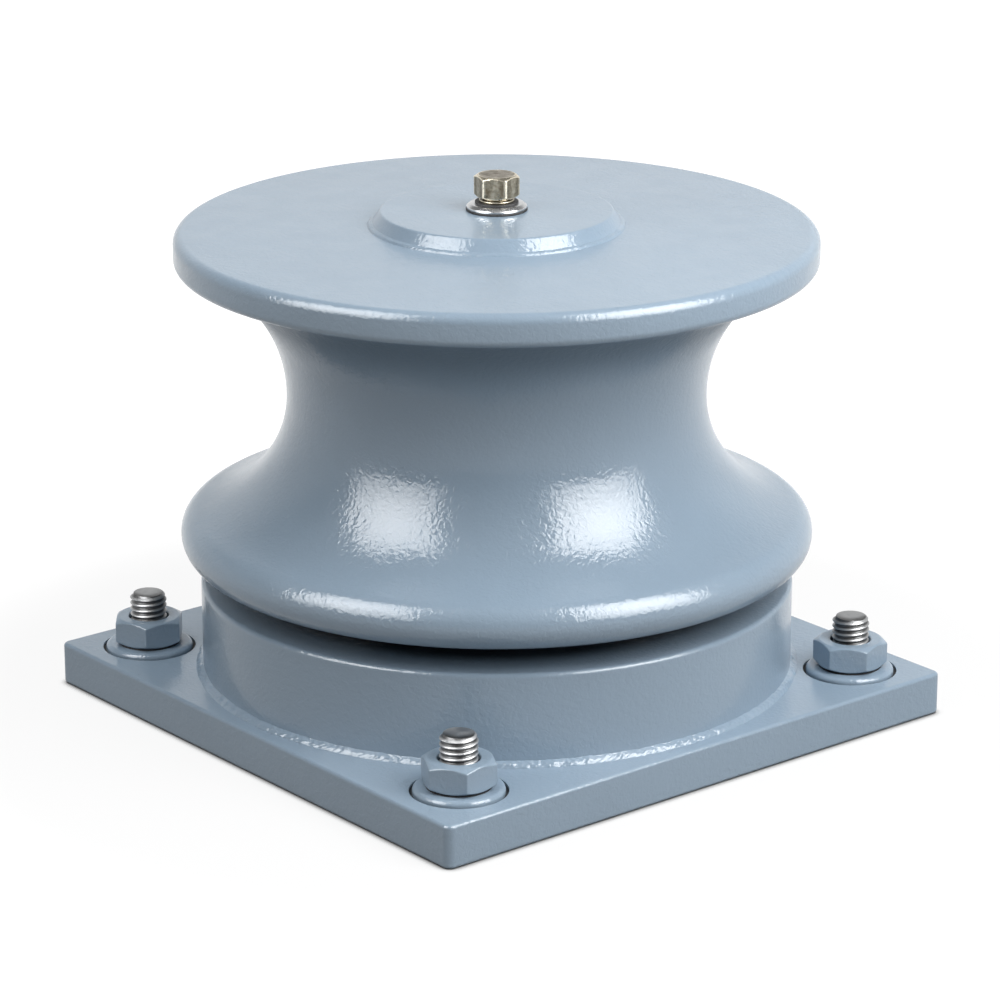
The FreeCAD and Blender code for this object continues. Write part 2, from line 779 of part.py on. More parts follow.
def make_hub():
    body = new_body("hub_sleeve")
    revolve(body, (
        ("hub_flange_radius", "hub_low"),
        ("hub_radius", "hub_low"),
        ("hub_radius", "recess_floor"),
        ("hub_flange_radius", "recess_floor"),
        ("hub_flange_radius", "high_flange_under"),
        ("hub_bore_radius", "high_flange_under"),
        ("hub_bore_radius", "low_flange_top"),
        ("hub_flange_radius", "low_flange_top"),
    ))
    return body


def make_low_bush():
    body = new_body("lower_bush")
    turned = revolve(body, (
        ("bush_bore_radius", "thrust_top"),
        ("bush_flange_radius", "thrust_top"),
        ("bush_flange_radius", "low_flange_top"),
        ("bush_radius", "low_flange_top"),
        ("bush_radius", "low_bush_top"),
        ("bush_bore_radius", "low_bush_top"),
    ))
    dress(body, turned, "Chamfer", rings(turned.Shape, "bush_radius", "low_bush_top"), "bush_edge")
    return body


def make_high_bush():
    body = new_body("upper_bush")
    turned = revolve(body, (
        ("bush_bore_radius", "high_bush_under"),
        ("bush_radius", "high_bush_under"),
        ("bush_radius", "high_flange_under"),
        ("bush_flange_radius", "high_flange_under"),
        ("bush_flange_radius", "bush_high"),
        ("bush_bore_radius", "bush_high"),
    ))
    dress(body, turned, "Chamfer", rings(turned.Shape, "bush_radius", "high_bush_under"), "bush_edge")
    return body


def make_low_web():
    body = new_body("bottom_web")
    revolve(body, (
        ("drum_bore_radius", "low_web_under"),
        ("low_web_radius", "low_web_under"),
        ("low_web_radius", "low_web_top"),
        ("drum_bore_radius", "low_web_top"),
    ))
    return body


def make_web_weld():
    body = new_body("web_weld")
    revolve(body, (
        ("low_web_radius", "roller_under"),
        ("low_web_radius", "low_web_under"),
        ("web_weld_radius", "low_web_under"),
    ))
    return body


def make_seal():
    body = new_body("dust_seal")
    revolve(body, (
        ("drum_bore_radius", "seal_body_low"),
        ("drum_bore_radius", "low_web_under"),
        ("seal_radius", "low_web_under"),
        ("seal_radius", "seal_body_low"),
        ("seal_lip_radius", "seal_low"),
        ("seal_lip_inner", "seal_low"),
    ))
    return body


# Cover and grease plug
def make_cover():
    body = new_body("hub_cover")
    turned = revolve(body, (
        ("plug_hole_radius", "spigot_low"),
        ("spigot_radius", "spigot_low"),
        ("spigot_radius", "cover_seat"),
        ("cover_radius", "cover_seat"),
        ("cover_top_radius", "cover_top"),
        ("plug_hole_radius", "cover_top"),
    ))
    dress(body, turned, "Fillet", rings(turned.Shape, "cover_top_radius", "cover_top"), "cover_edge")
    return body


def make_cover_weld():
    body = new_body("cover_weld")
    revolve(body, (
        ("cover_radius", "cover_seat"),
        ("cover_weld_radius", "cover_seat"),
        ("cover_weld_inner", "cover_weld_top"),
    ))
    return body


def make_plug_seal():
    body = new_body("plug_seal")
    revolve(body, (
        ("plug_hole_radius", "cover_top"),
        ("plug_seal_radius", "cover_top"),
        ("plug_seal_radius", "plug_seal_top"),
        ("plug_hole_radius", "plug_seal_top"),
    ))
    return body


def make_plug_washer():
    body = new_body("plug_washer")
    turned = revolve(body, (
        ("plug_hole_radius", "plug_seal_top"),
        ("plug_washer_radius", "plug_seal_top"),
        ("plug_washer_radius", "plug_washer_top"),
        ("plug_hole_radius", "plug_washer_top"),
    ))
    edges = rings(turned.Shape, "plug_washer_radius", "plug_washer_top")
    dress(body, turned, "Fillet", edges, "plug_washer_edge")
    return body


def make_plug_gasket():
    body = new_body("plug_gasket")
    revolve(body, (
        ("plug_hole_radius", "plug_washer_top"),
        ("plug_gasket_radius", "plug_washer_top"),
        ("plug_gasket_radius", "plug_gasket_top"),
        ("plug_hole_radius", "plug_gasket_top"),
    ))
    return body


def make_plug():
    head = hexagon_blank("plug_head", "plug_flats", "plug_head_low", "plug_head_top")
    shank = new_body("plug_shank")
    revolve(shank, (
        (None, "plug_tip"),
        ("plug_thread_radius", "plug_tip"),
        ("plug_thread_radius", "plug_gasket_top"),
        ("plug_collar_radius", "plug_gasket_top"),
        ("plug_collar_radius", "plug_collar_top"),
        ("plug_neck_radius", "plug_collar_top"),
        ("plug_neck_radius", "plug_head_low"),
        (None, "plug_head_low"),
    ))
    plug = doc.addObject("Part::Fuse", "grease_plug")
    plug.Base = head
    plug.Tool = shank
    plug.Label = "grease_plug"
    plug.Placement.Rotation = FreeCAD.Rotation(FreeCAD.Vector(0, 0, 1), plug_turn)
    return plug


def build():
    pieces = [
        make_plate(),
        make_pedestal_ring(),
        make_foot_weld(),
        make_deck(),
        make_deck_weld(),
        make_pin(),
        make_pin_weld(),
        make_thrust_ring(),
        make_keeper(),
        make_drum(),
        make_hub(),
        make_low_bush(),
        make_high_bush(),
        make_low_web(),
        make_web_weld(),
        make_seal(),
        make_cover(),
        make_cover_weld(),
        make_plug_seal(),
        make_plug_washer(),
        make_plug_gasket(),
        make_plug(),
    ]
    for number in range(1, len(corner_signs) + 1):
        pieces.append(make_keeper_screw(number))
        pieces.append(make_stud(number))
        pieces.append(make_washer(number))
        pieces.append(make_nut(number))
    doc.recompute()
    return pieces


def check(pieces):
    for thing in doc.Objects:
        bad = {"Invalid", "Error"} & set(thing.State)
        if bad:
            raise RuntimeError(f"{thing.Label} is {', '.join(bad)}")
    for piece in pieces:
        if piece.Shape.isNull() or not piece.Shape.isValid():
            raise RuntimeError(f"{piece.Label} has no valid shape")


def write(pieces):
    os.makedirs("parts", exist_ok=True)
    for piece in pieces:
        piece.Shape.exportStep(f"parts/{piece.Label}.step")
        box = piece.Shape.BoundBox
        print(
            piece.Label,
            f"{len(piece.Shape.Solids)} solid, {piece.Shape.Volume / 1000:.1f} cm3,",
            f"z {box.ZMin:.2f} to {box.ZMax:.2f}",
        )


fill_sheet()
made = build()
check(made)
write(made)
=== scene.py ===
import json
import math

import bmesh
import bpy
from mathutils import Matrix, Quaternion, Vector


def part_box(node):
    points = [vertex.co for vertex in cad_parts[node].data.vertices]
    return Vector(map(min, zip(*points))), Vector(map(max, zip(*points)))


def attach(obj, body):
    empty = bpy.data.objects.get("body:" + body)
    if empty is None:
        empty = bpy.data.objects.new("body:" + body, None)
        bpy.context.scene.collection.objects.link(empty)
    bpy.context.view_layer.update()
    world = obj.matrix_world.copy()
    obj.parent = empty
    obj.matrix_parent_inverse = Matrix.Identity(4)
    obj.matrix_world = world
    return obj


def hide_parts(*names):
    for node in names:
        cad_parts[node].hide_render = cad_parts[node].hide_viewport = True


# Roller fairlead, dressed for a studio picture on the fixed model's own places.
# The dictionaries of the pieces and of the view hold millimetres. Those of the materials, the thread's
# and weld's trees and the studio hold metres.

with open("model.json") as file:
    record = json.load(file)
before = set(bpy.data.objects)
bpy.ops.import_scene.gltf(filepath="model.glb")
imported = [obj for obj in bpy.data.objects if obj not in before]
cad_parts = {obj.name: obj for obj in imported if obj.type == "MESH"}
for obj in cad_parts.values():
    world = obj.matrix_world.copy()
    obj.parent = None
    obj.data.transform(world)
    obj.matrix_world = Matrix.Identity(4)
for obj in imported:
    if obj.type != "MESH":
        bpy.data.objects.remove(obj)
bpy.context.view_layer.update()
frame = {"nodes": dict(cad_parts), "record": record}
nodes = frame["nodes"]
mm = 0.001
cornerNumbers = (1, 2, 3, 4)
print("model loaded:", len(nodes), "pieces")


# Sums on sockets

class Signal:
    # one output socket, used in a sum as a number would be
    def __init__(self, graph, socket):
        self.graph = graph
        self.socket = socket

    def __add__(self, other):
        return self.graph.sum("ADD", self, other)

    def __radd__(self, other):
        return self.graph.sum("ADD", other, self)

    def __sub__(self, other):
        return self.graph.sum("SUBTRACT", self, other)

    def __rsub__(self, other):
        return self.graph.sum("SUBTRACT", other, self)

    def __mul__(self, other):
        return self.graph.sum("MULTIPLY", self, other)

    def __rmul__(self, other):
        return self.graph.sum("MULTIPLY", other, self)

    def __truediv__(self, other):
        return self.graph.sum("DIVIDE", self, other)

    def __rtruediv__(self, other):
        return self.graph.sum("DIVIDE", other, self)


class Graph:
    def __init__(self, tree):
        self.tree = tree

    def add(self, kind, settings=None, inputs=None, output=0):
        node = self.tree.nodes.new(kind)
        for key, value in (settings or {}).items():
            setattr(node, key, value)
        for key, value in (inputs or {}).items():
            if isinstance(value, Signal):
                self.tree.links.new(value.socket, node.inputs[key])
            else:
                node.inputs[key].default_value = value
        return Signal(self, node.outputs[output]) if len(node.outputs) else node

    def outputs(self, kind, inputs=None):
        # one new node's outputs, by name
        made = self.add(kind, None, inputs).socket.node
        return {socket.name: Signal(self, socket) for socket in made.outputs}

    def sum(self, operation, *parts):
        return self.add("ShaderNodeMath", {"operation": operation}, dict(enumerate(parts)))

    def vector(self, operation, *parts, output=0):
        return self.add("ShaderNodeVectorMath", {"operation": operation}, dict(enumerate(parts)), output)

    def stretch(self, way, length):
        return self.add("ShaderNodeVectorMath", {"operation": "SCALE"}, {0: way, "Scale": length})

    def join(self, x=0.0, y=0.0, z=0.0):
        return self.add("ShaderNodeCombineXYZ", None, {0: x, 1: y, 2: z})

    def split(self, place):
        return self.outputs("ShaderNodeSeparateXYZ", {0: place})

    def aroundAxis(self, place):
        # the way outward from the upright axis, and how far the place lies from it
        flat = self.vector("MULTIPLY", place, (1, 1, 0))
        return flat, self.vector("LENGTH", flat, output=1)

    def within(self, value, low, high, newLow=0.0, newHigh=1.0):
        # a soft step from newLow to newHigh as value goes from low to high
        return self.add(
            "ShaderNodeMapRange",
            {"interpolation_type": "SMOOTHSTEP"},
            {0: value, 1: low, 2: high, 3: newLow, 4: newHigh},
        )

    def noise(self, place, scale, detail=2.0, roughness=0.5, distortion=0.0):
        return self.add(
            "ShaderNodeTexNoise",
            None,
            {"Vector": place, "Scale": scale, "Detail": detail, "Roughness": roughness, "Distortion": distortion},
        )

    def blend(self, share, first, second):
        return self.add("ShaderNodeMix", {"data_type": "RGBA"}, {0: share, 6: first, 7: second}, 2)

    def bump(self, height):
        return self.add("ShaderNodeBump", None, {"Strength": 1.0, "Distance": 1.0, "Height": height})

    def seen(self):
        # 1 where the camera sees a thing, also in a mirror or through glass, and 0 where light meets it
        ray = self.outputs("ShaderNodeLightPath")
        direct = ray["Is Camera Ray"] + ray["Is Glossy Ray"] + ray["Is Transmission Ray"]
        return self.sum("MINIMUM", direct, 1.0)


def shade(colour, level=1.0):
    return (colour[0] * level, colour[1] * level, colour[2] * level, 1.0)


# Materials
# A noise has its scale, detail, roughness and distortion. A range has its start, its end and the values there.

def startMaterial(name):
    material = bpy.data.materials.new(name)
    material.use_nodes = True
    material.node_tree.nodes.clear()
    graph = Graph(material.node_tree)
    place = graph.add("ShaderNodeTexCoord", output="Object")
    return material, graph, place


def endMaterial(graph, fixed, varying):
    surface = graph.add("ShaderNodeBsdfPrincipled", None, {**fixed, **varying})
    graph.add("ShaderNodeOutputMaterial", None, {"Surface": surface})


paint = {
    "colour": (0.24, 0.312, 0.386),
    "mottle": 0.035,
    "cloud": (7.0, 3.0, 0.55),
    "cloudRange": (0.3, 0.7, 0.0, 0.75),
    "speck": (900.0, 1.0),
    "speckRange": (0.35, 0.65, 0.0, 0.25),
    "patches": (38.0, 2.0),
    "roughness": (0.35, 0.65, 0.31, 0.37),
    "peel": (300.0, 2.0, 0.45, 0.6),
    "peelDepth": 0.00034,
    "wave": (110.0, 2.0, 0.5, 0.3),
    "waveDepth": 0.00018,
    # painted shade inside the pedestal, under the roller
    "insideRadii": (0.19, 0.17),
    "insideLevels": (0.117, 0.113),
    "insidePaintedShade": 0.2,
    # painted shade under the top flange, where the coat is thinner too
    "underLevels": (0.272, 0.308),
    "underEnd": (0.328, 0.326),
    "underRadii": (0.214, 0.208),
    "underPaintedShade": 0.27,
    "underCoatThinning": 0.95,
    "coatWeight": 0.6,
    "coat": {"Coat Roughness": 0.03, "Coat IOR": 1.55, "Specular IOR Level": 0.05},
}


def makePaint():
    material, graph, place = startMaterial("steelBluePaint")
    cloud = graph.within(graph.noise(place, *paint["cloud"]), *paint["cloudRange"])
    speck = graph.within(graph.noise(place, *paint["speck"]), *paint["speckRange"])
    darker, lighter = (shade(paint["colour"], 1 + sign * paint["mottle"]) for sign in (-1, 1))
    colour = graph.blend(cloud + speck, darker, lighter)
    radius = graph.aroundAxis(place)[1]
    level = graph.split(place)["Z"]
    # painted shade darkens what the roller hides, inside the pedestal
    insideShade = graph.within(radius, *paint["insideRadii"]) * graph.within(level, *paint["insideLevels"])
    colour = graph.blend(insideShade, colour, shade(paint["colour"], paint["insidePaintedShade"]))
    # painted shade where the groove turns under the top flange, and a thinner coat there
    under = graph.within(level, *paint["underLevels"]) * graph.within(level, *paint["underEnd"])
    under = under * graph.within(radius, *paint["underRadii"])
    colour = graph.blend(under * paint["underPaintedShade"], colour, (0.0, 0.0, 0.0, 1.0))
    coat = paint["coatWeight"] * (1 - under * paint["underCoatThinning"])
    peel = graph.noise(place, *paint["peel"]) * paint["peelDepth"]
    normal = graph.bump(peel + graph.noise(place, *paint["wave"]) * paint["waveDepth"])
    endMaterial(graph, paint["coat"], {
        "Base Color": colour,
        "Roughness": graph.within(graph.noise(place, *paint["patches"]), *paint["roughness"]),
        "Normal": normal,
        "Coat Normal": normal,
        "Coat Weight": coat,
    })
    return material


bareSteel = {
    "bright": (0.37, 0.375, 0.38),
    "dull": (0.06, 0.06, 0.06),
    "valleyRange": (0.25, 0.9, 0.0, 0.85),
    "stain": (120.0, 4.0, 0.6),
    "stainRange": (0.45, 0.75, 0.0, 0.25),
    "roughness": (0.3, 0.7, 0.35, 0.49),
    "grain": (700.0, 2.0, 0.6),
    "grainDepth": 0.00006,
}


def makeStudSteel():
    # crests keep the bright colour, the thread's valleys are darker, and a noise stains the steel
    material, graph, place = startMaterial("studSteel")
    valley = graph.add("ShaderNodeAttribute", {"attribute_name": "valley"}, output="Fac")
    stain = graph.noise(place, *bareSteel["stain"])
    dark = graph.within(valley, *bareSteel["valleyRange"]) + graph.within(stain, *bareSteel["stainRange"])
    grain = graph.noise(place, *bareSteel["grain"])
    endMaterial(graph, {"Metallic": 1.0}, {
        "Base Color": graph.blend(dark, shade(bareSteel["bright"]), shade(bareSteel["dull"])),
        "Roughness": graph.within(stain, *bareSteel["roughness"]),
        "Normal": graph.bump(grain * bareSteel["grainDepth"]),
    })
    return material


turnedMetal = {
    "stain": (55.0, 4.0, 0.6),
    "stainRange": (0.3, 0.75),
    "dark": 0.72,
    "rougher": 0.12,
    # colour, roughness, and the tool rings' spacing and depth
    "turnedSteel": ((0.56, 0.56, 0.55), 0.3, 0.00035, 0.000012),
    "bushBronze": ((0.58, 0.37, 0.17), 0.32, 0.00035, 0.000012),
    "brightWasherSteel": ((0.72, 0.73, 0.74), 0.2, 0.0005, 0.000006),
}


def makeTurned(name):
    # turned metal, with fine tool rings about the roller's axis and a little staining
    colour, roughness, spacing, depth = turnedMetal[name]
    material, graph, place = startMaterial(name)
    radius = graph.aroundAxis(place)[1]
    level = graph.split(place)["Z"]
    cut = graph.sum("SINE", (radius + level) * (math.tau / spacing))
    tone = graph.within(graph.noise(place, *turnedMetal["stain"]), *turnedMetal["stainRange"])
    endMaterial(graph, {"Metallic": 1.0}, {
        "Base Color": graph.blend(tone, shade(colour), shade(colour, turnedMetal["dark"])),
        "Roughness": tone * turnedMetal["rougher"] + roughness,
        "Normal": graph.bump(cut * depth),
    })
    return material


rubber = {
    "clean": (0.012, 0.012, 0.013),
    "dusty": (0.035, 0.035, 0.036),
    "dust": (160.0, 4.0, 0.65),
    "dustRange": (0.4, 0.75),
    "dustDepth": 0.00008,
    "roughness": 0.55,
    "rougher": 0.2,
    "specular": 0.35,
}


def makeRubber():
    material, graph, place = startMaterial("blackRubber")
    dust = graph.noise(place, *rubber["dust"])
    tone = graph.within(dust, *rubber["dustRange"])
    endMaterial(graph, {"Specular IOR Level": rubber["specular"]}, {
        "Base Color": graph.blend(tone, shade(rubber["clean"]), shade(rubber["dusty"])),
        "Roughness": tone * rubber["rougher"] + rubber["roughness"],
        "Normal": graph.bump(dust * rubber["dustDepth"]),
    })
    return material


plugBrass = {
    "body": (0.17, 0.14, 0.092),
    "worn": (0.74, 0.68, 0.55),
    "tarnish": (0.09, 0.068, 0.04),
    "stain": (190.0, 5.0, 0.65, 0.4),
    "stainRange": (0.42, 0.7),
    "stainDepth": 0.00012,
    "rub": (420.0, 3.0, 0.6),
    "rubLift": 0.55,
    "rubDepth": 0.00007,
    "wearRange": (0.25, 0.9),
    "roughness": (0.3, 0.7, 0.25, 0.41),
}


def makePlugMetal():
    # nickel worn through to brass along the edges, stained where hands and tools don't reach
    material, graph, place = startMaterial("plugBrass")
    edge = graph.add("ShaderNodeAttribute", {"attribute_name": "edge"}, output="Fac")
    stain = graph.noise(place, *plugBrass["stain"])
    rub = graph.noise(place, *plugBrass["rub"])
    tarnish = graph.within(stain, *plugBrass["stainRange"])
    body = graph.blend(tarnish, shade(plugBrass["body"]), shade(plugBrass["tarnish"]))
    wear = graph.within(edge * (rub + plugBrass["rubLift"]), *plugBrass["wearRange"])
    endMaterial(graph, {"Metallic": 1.0}, {
        "Base Color": graph.blend(wear, body, shade(plugBrass["worn"])),
        "Roughness": graph.within(stain, *plugBrass["roughness"]),
        "Normal": graph.bump(rub * plugBrass["rubDepth"] + stain * plugBrass["stainDepth"]),
    })
    return material


finishes = {
    "paint": makePaint(),
    "stud_steel": makeStudSteel(),
    "machined_steel": makeTurned("turnedSteel"),
    "bush_bronze": makeTurned("bushBronze"),
    "washer_steel": makeTurned("brightWasherSteel"),
    "seal_rubber": makeRubber(),
    "plug_metal": makePlugMetal(),
}
print("materials made:", len(finishes))


# Outlines and turned meshes

# the most that a rounding may take of a side
sideShare = 0.3
replacedNodes = set()


def arc(centre, radius, start, end, steps):
    # points of a circle between two directions in degrees
    points = []
    for k in range(steps + 1):
        way = math.radians(start + (end - start) * k / steps)
        points.append((centre[0] + radius * math.cos(way), centre[1] + radius * math.sin(way)))
    return points


def soften(points, radius, steps, gap):
    # rounds every corner of a closed outline, and keeps the straight runs flat with a point near each end
    rounds = []
    for k, point in enumerate(points):
        here = Vector(point)
        back = Vector(points[k - 1]) - here
        ahead = Vector(points[(k + 1) % len(points)]) - here
        reach = min(radius, back.length * sideShare, ahead.length * sideShare)
        first = here + back.normalized() * reach
        last = here + ahead.normalized() * reach
        shares = [step / steps for step in range(steps + 1)]
        rounds.append([first.lerp(here, t).lerp(here.lerp(last, t), t) for t in shares])
    result = []
    for bend, following in zip(rounds, rounds[1:] + rounds[:1]):
        start, end = bend[-1], following[0]
        share = min(gap / max((end - start).length, 1e-6), sideShare)
        result += [tuple(point) for point in bend]
        result += [tuple(start.lerp(end, share)), tuple(start.lerp(end, 1 - share))]
    return result


def addPiece(name, mesh):
    # turns a built mesh into an object of the scene
    shape = bpy.data.meshes.new(name)
    mesh.to_mesh(shape)
    mesh.free()
    piece = bpy.data.objects.new(name, shape)
    bpy.context.scene.collection.objects.link(piece)
    return piece


def weave(name, columns):
    # joins upright outlines, each a list of (x, y, z) in millimetres, into one closed skin
    mesh = bmesh.new()
    grid = [[mesh.verts.new([c * mm for c in point]) for point in column] for column in columns]
    for here, beyond in zip(grid, grid[1:] + grid[:1]):
        for k in range(len(here)):
            n = (k + 1) % len(here)
            mesh.faces.new((here[k], beyond[k], beyond[n], here[n]))
    bmesh.ops.remove_doubles(mesh, verts=mesh.verts, dist=1e-7)
    bmesh.ops.recalc_face_normals(mesh, faces=mesh.faces)
    return addPiece(name, mesh)


def turn(name, outline, segments, middle=(0, 0)):
    # turns an outline of radii and heights about an upright axis
    columns = []
    for k in range(segments):
        way = math.tau * k / segments
        across, along = math.cos(way), math.sin(way)
        columns.append([(middle[0] + r * across, middle[1] + r * along, z) for r, z in outline])
    return weave(name, columns)


def smooth(piece, angle=32):
    piece.data.shade_smooth()
    piece.data.set_sharp_from_angle(angle=math.radians(angle))


def settle(piece, body, slotName, *replaced):
    # gives a finished mesh its material, its body and the nodes that it stands for
    if not piece.data.materials:
        piece.data.materials.append(finishes[slotName])
    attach(piece, body)
    if replaced:
        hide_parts(*replaced)
        replacedNodes.update(replaced)


def span(node):
    # a node's middle, outer radius, bottom and top, in millimetres
    low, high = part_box(node)
    middle = (low + high) / 2 / mm
    return (middle.x, middle.y), (high.x - low.x) / 2 / mm, low.z / mm, high.z / mm


# Geometry Nodes trees and how they are run

def startTree(name, inputs):
    tree = bpy.data.node_groups.new(name, "GeometryNodeTree")
    tree.interface.new_socket("Geometry", in_out="INPUT", socket_type="NodeSocketGeometry")
    tree.interface.new_socket("Geometry", in_out="OUTPUT", socket_type="NodeSocketGeometry")
    for label, value in inputs.items():
        kind = "NodeSocketFloat" if isinstance(value, float) else "NodeSocketVector"
        tree.interface.new_socket(label, in_out="INPUT", socket_type=kind).default_value = value
    tree.interface.new_socket("Finish", in_out="INPUT", socket_type="NodeSocketMaterial")
    graph = Graph(tree)
    return tree, graph, graph.outputs("NodeGroupInput")


def endTree(graph, geometry, finish):
    loose = graph.add("GeometryNodeRealizeInstances", None, {0: geometry})
    dressed = graph.add("GeometryNodeSetMaterial", None, {"Geometry": loose, "Material": finish})
    graph.add("NodeGroupOutput", None, {0: dressed})


def runTree(piece, tree, values):
    modifier = piece.modifiers.new(tree.name, "NODES")
    modifier.node_group = tree
    for item in tree.interface.items_tree:
        if item.in_out == "INPUT" and item.name in values:
            modifier[item.identifier] = values[item.name]
    evaluated = piece.evaluated_get(bpy.context.evaluated_depsgraph_get())
    result = bpy.data.meshes.new_from_object(evaluated)
    piece.modifiers.remove(modifier)
    piece.data = result


# the groove's share of each pitch, and how far and how deep it runs out at the top
thread = {"groove": (0.05, 0.85), "runOut": 0.6, "topDepth": 0.25}


def makeThreadTree():
    # cuts a screw thread into a plain rod that stands on the origin, then puts the rod in its place
    tree, graph, given = startTree("cutThread", {
        "Pitch": 0.003, "Depth": 0.0016, "Start": 0.03, "Top": 0.07, "Place": (0.0, 0.0, 0.0),
    })
    pitch, depth = given["Pitch"], given["Depth"]
    position = graph.add("GeometryNodeInputPosition")
    x, y, z = graph.split(position).values()
    flat, radius = graph.aroundAxis(position)
    angle = graph.sum("ARCTAN2", y, x) / math.tau
    phase = graph.sum("FRACT", z / pitch - angle)
    groove = graph.within(graph.sum("ABSOLUTE", phase * 2 - 1), *thread["groove"])
    share = graph.within(z, given["Start"], given["Start"] + pitch)
    share = share * graph.within(radius, depth * 2, depth * 4)
    runOut = graph.within(given["Top"] - z, 0.0, pitch * thread["runOut"], thread["topDepth"], 1.0)
    shift = graph.stretch(graph.vector("NORMALIZE", flat), groove * depth * share * runOut * -1)
    marked = graph.add(
        "GeometryNodeStoreNamedAttribute",
        {"data_type": "FLOAT", "domain": "POINT"},
        {"Geometry": given["Geometry"], "Name": "valley", "Value": groove * share},
    )
    moved = graph.add("GeometryNodeSetPosition", None, {"Geometry": marked, "Offset": shift})
    placed = graph.add("GeometryNodeTransform", None, {"Geometry": moved, "Translation": given["Place"]})
    endTree(graph, placed, given["Finish"])
    return tree


weldSkin = {
    "rough": (330.0, 2.0, 0.55),
    "lump": (120.0, 2.0, 0.5),
    "slow": (42.0, 2.0, 0.5),
    "free": (0.0, 0.15),
    "toe": (0.05, 0.7),
    "bow": 0.8,
    "unevenness": 9,
    "lumpLift": 1.4,
    "lumpDrift": 1.6,
    "lean": 0.7,
}


def makeBeadTree():
    # roughens a plain ring of weld: faint ripples, lumps, and toes that wander
    tree, graph, given = startTree("rippleBead", {
        "Ripples": 200.0, "Ripple": 0.0003, "Lump": 0.0008, "Wander": 0.0006,
        "Inner Radius": 0.2, "Foot Level": 0.03, "Size": 0.007,
    })
    position = graph.add("GeometryNodeInputPosition")
    x, y, z = graph.split(position).values()
    flat, radius = graph.aroundAxis(position)
    out = (radius - given["Inner Radius"]) / given["Size"]
    up = (z - given["Foot Level"]) / given["Size"]
    free = graph.within(graph.sum("MINIMUM", out, up), *weldSkin["free"])
    rough, lump, slow = (graph.noise(position, *weldSkin[key]) - 0.5 for key in ("rough", "lump", "slow"))
    turnShare = graph.sum("ARCTAN2", y, x) / math.tau
    # each ripple is bowed, because the pool freezes later in the middle of the bead
    bow = (1 - graph.sum("ABSOLUTE", out - up)) * weldSkin["bow"]
    wave = (turnShare * given["Ripples"] - bow) * math.tau + lump * weldSkin["unevenness"]
    lift = given["Ripple"] * graph.sum("SINE", wave) + given["Lump"] * rough
    lift = free * (lift + given["Lump"] * lump * weldSkin["lumpLift"])
    drift = (slow * 2 + lump * weldSkin["lumpDrift"]) * given["Wander"]
    outward = graph.vector("NORMALIZE", flat)
    rise = graph.stretch(graph.vector("ADD", outward, (0, 0, 1)), lift * weldSkin["lean"])
    spread = graph.stretch(outward, drift * graph.within(out, *weldSkin["toe"]))
    raised = graph.join(z=drift * graph.within(up, *weldSkin["toe"]))
    shift = graph.vector("ADD", graph.vector("ADD", rise, spread), raised)
    moved = graph.add("GeometryNodeSetPosition", None, {"Geometry": given["Geometry"], "Offset": shift})
    endTree(graph, moved, given["Finish"])
    return tree


def makeCornerTree():
    # sets one piece down at the four corners of a square
    tree, graph, given = startTree("atFourCorners", {"Spacing": 0.36, "Level": 0.0})
    grid = graph.add("GeometryNodeMeshGrid", None, {
        "Size X": given["Spacing"], "Size Y": given["Spacing"], "Vertices X": 2, "Vertices Y": 2,
    })
    copies = graph.add("GeometryNodeInstanceOnPoints", None, {"Points": grid, "Instance": given["Geometry"]})
    lifted = graph.join(z=given["Level"])
    placed = graph.add("GeometryNodeTransform", None, {"Geometry": copies, "Translation": lifted})
    endTree(graph, placed, given["Finish"])
    return tree


threadTree = makeThreadTree()
beadTree = makeBeadTree()
cornerTree = makeCornerTree()
print("node trees made")


# Roller drum

drum = {
    "segments": 320,
    "crown": 3.0,
    "seatRadius": 93.0,
    "topRound": 7.1,
    "underRound": 5.7,
    "topThick": 23.0,
    "land": 14.0,
    "waistRadius": 147.8,
    "waistAbove": 116.6,
    "lowRadius": 223.9,
    "lowRound": 16.8,
    "wall": 28.0,
    "roofThick": 30.0,
    "webGap": 0.05,
    "recessRadius": 76.0,
    "recessDeep": 31.7,
    "boreRadius": 80.16,
    "bossRadius": 102.16,
    "bossDeep": 40.0,
    "edge": 1.0,
    "flatStep": 1.5,
    # steps along the arcs, in the order of the outline
    "steps": (10, 9, 24, 26, 16, 14),
}


